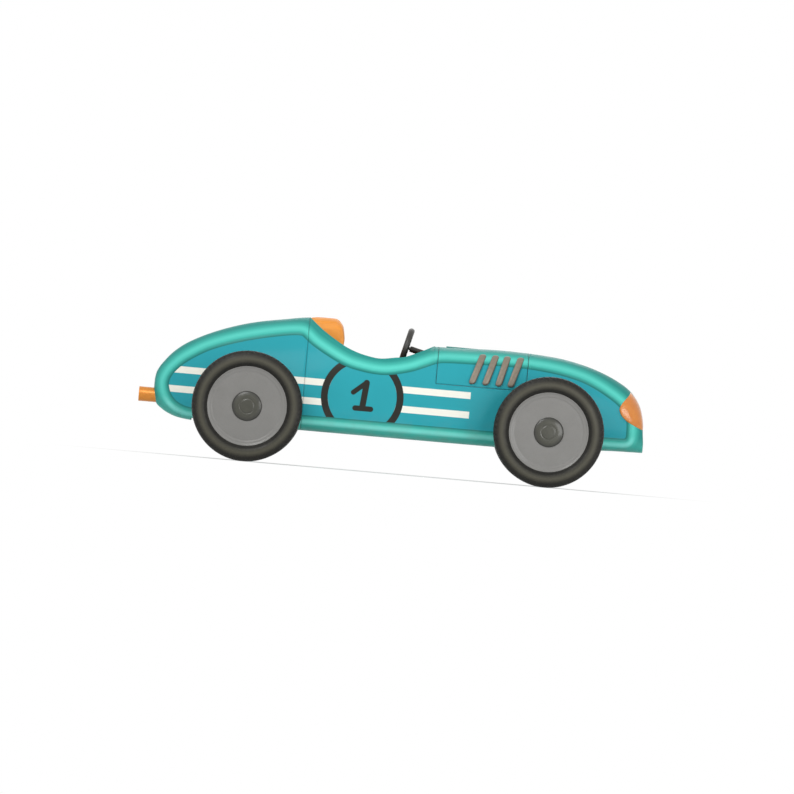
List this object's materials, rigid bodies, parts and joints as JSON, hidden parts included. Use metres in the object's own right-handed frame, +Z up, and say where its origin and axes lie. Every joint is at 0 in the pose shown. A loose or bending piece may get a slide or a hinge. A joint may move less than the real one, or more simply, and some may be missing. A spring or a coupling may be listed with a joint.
{
  "type": "racing car",
  "caption": "Vintage single-seat open-wheel racing car: streamlined turquoise body, open cockpit, steered front wheels, disc wheels and a hinged bonnet.",
  "frame": {"origin": "on the ground at the middle of the overall length and width", "axes": "+X towards the nose, +Y towards the car's left side, +Z up"},
  "size_m": [3.7025, 1.43, 1.092],
  "materials": {
    "body_paint": "gloss turquoise paint",
    "louvre_metal": "taupe paint",
    "grille_metal": "dark paint",
    "radiator_metal": "black paint",
    "lamp_lens": "amber lens",
    "frame_paint": "satin dark grey",
    "spring_steel": "dark spring steel",
    "engine_iron": "as cast",
    "sheet_aluminium": "satin",
    "seat_leather": "orange leather",
    "bright_steel": "brushed",
    "pipe_metal": "orange heat-proof paint",
    "wheel_rim_dark": "dark rim",
    "tyre_rubber": "dark rubber",
    "disc_paint": "grey paint",
    "cap_paint": "dark grey paint",
    "drum_iron": "as cast"
  },
  "bodies": {
    "car_frame": {"nose_cowl": "body_paint", "cockpit_shell": "body_paint", "tail_shell": "body_paint", "grille": "grille_metal", "radiator": "radiator_metal", "headlamp_lens_left": "lamp_lens", "headlamp_lens_right": "lamp_lens", "chassis_frame": "frame_paint", "front_springs": "spring_steel", "rear_springs": "spring_steel", "front_axle": "frame_paint", "rear_axle": "frame_paint", "engine_block": "engine_iron", "floor_and_firewall": "sheet_aluminium", "dash_panel": "sheet_aluminium", "seat_back": "seat_leather", "seat_cushion": "seat_leather", "headrest_pad": "seat_leather", "gear_lever": "bright_steel", "pedals": "bright_steel", "steering_column": "frame_paint", "tail_pipe": "pipe_metal"},
    "bonnet_left": {"bonnet_left": "body_paint", "bonnet_louvres_left": "louvre_metal"},
    "bonnet_right": {"bonnet_right": "body_paint", "bonnet_louvres_right": "louvre_metal"},
    "knuckle_left": {"knuckle_left": "frame_paint"},
    "knuckle_right": {"knuckle_right": "frame_paint"},
    "track_rod": {"track_rod": "bright_steel"},
    "steering_wheel": {"steering_wheel": "wheel_rim_dark"},
    "wheel_front_left": {"tyre_front_left": "tyre_rubber", "disc_wheel_front_left": "disc_paint", "hub_cap_front_left": "cap_paint", "brake_drum_front_left": "drum_iron"},
    "wheel_front_right": {"tyre_front_right": "tyre_rubber", "disc_wheel_front_right": "disc_paint", "hub_cap_front_right": "cap_paint", "brake_drum_front_right": "drum_iron"},
    "wheel_rear_left": {"tyre_rear_left": "tyre_rubber", "disc_wheel_rear_left": "disc_paint", "hub_cap_rear_left": "cap_paint", "brake_drum_rear_left": "drum_iron"},
    "wheel_rear_right": {"tyre_rear_right": "tyre_rubber", "disc_wheel_rear_right": "disc_paint", "hub_cap_rear_right": "cap_paint", "brake_drum_rear_right": "drum_iron"}
  },
  "joints": [
    {"name": "steer_left", "type": "hinge", "parent": "car_frame", "child": "knuckle_left", "pos_m": [1.15249, 0.535, 0.403], "axis": [0, 0, 1], "range_deg": [-28, 28]},
    {"name": "steer_right", "type": "hinge", "parent": "car_frame", "child": "knuckle_right", "pos_m": [1.15249, -0.535, 0.403], "axis": [0, 0, 1], "range_deg": [-28, 28]},
    {"name": "track_rod_swing", "type": "hinge", "parent": "knuckle_left", "child": "track_rod", "pos_m": [1.00249, 0.535, 0.395], "axis": [0, 0, 1], "range_deg": [-28, 28]},
    {"name": "steering_wheel_turn", "type": "hinge", "parent": "car_frame", "child": "steering_wheel", "pos_m": [0.06649, 0, 0.92902], "axis": [0.9703, 0, -0.2419], "range_deg": [-336, 336]},
    {"name": "wheel_front_left_spin", "type": "hinge", "parent": "knuckle_left", "child": "wheel_front_left", "pos_m": [1.15249, 0.64, 0.403], "axis": [0, 1, 0], "continuous": true},
    {"name": "wheel_front_right_spin", "type": "hinge", "parent": "knuckle_right", "child": "wheel_front_right", "pos_m": [1.15249, -0.64, 0.403], "axis": [0, 1, 0], "continuous": true},
    {"name": "wheel_rear_left_spin", "type": "hinge", "parent": "car_frame", "child": "wheel_rear_left", "pos_m": [-1.04751, 0.64, 0.403], "axis": [0, 1, 0], "continuous": true},
    {"name": "wheel_rear_right_spin", "type": "hinge", "parent": "car_frame", "child": "wheel_rear_right", "pos_m": [-1.04751, -0.64, 0.403], "axis": [0, 1, 0], "continuous": true},
    {"name": "bonnet_left_hinge", "type": "hinge", "parent": "car_frame", "child": "bonnet_left", "pos_m": [0.6355, 0.0145, 0.95999], "axis": [1, 0, 0], "range_deg": [0, 75]},
    {"name": "bonnet_right_hinge", "type": "hinge", "parent": "car_frame", "child": "bonnet_right", "pos_m": [0.6355, -0.0145, 0.95999], "axis": [-1, 0, 0], "range_deg": [0, 75]}
  ],
  "couplings": [
    {"joint": "steer_right", "follows": "steer_left", "ratio": 1},
    {"joint": "track_rod_swing", "follows": "steer_left", "ratio": -1},
    {"joint": "steering_wheel_turn", "follows": "steer_left", "ratio": -12}
  ]
}
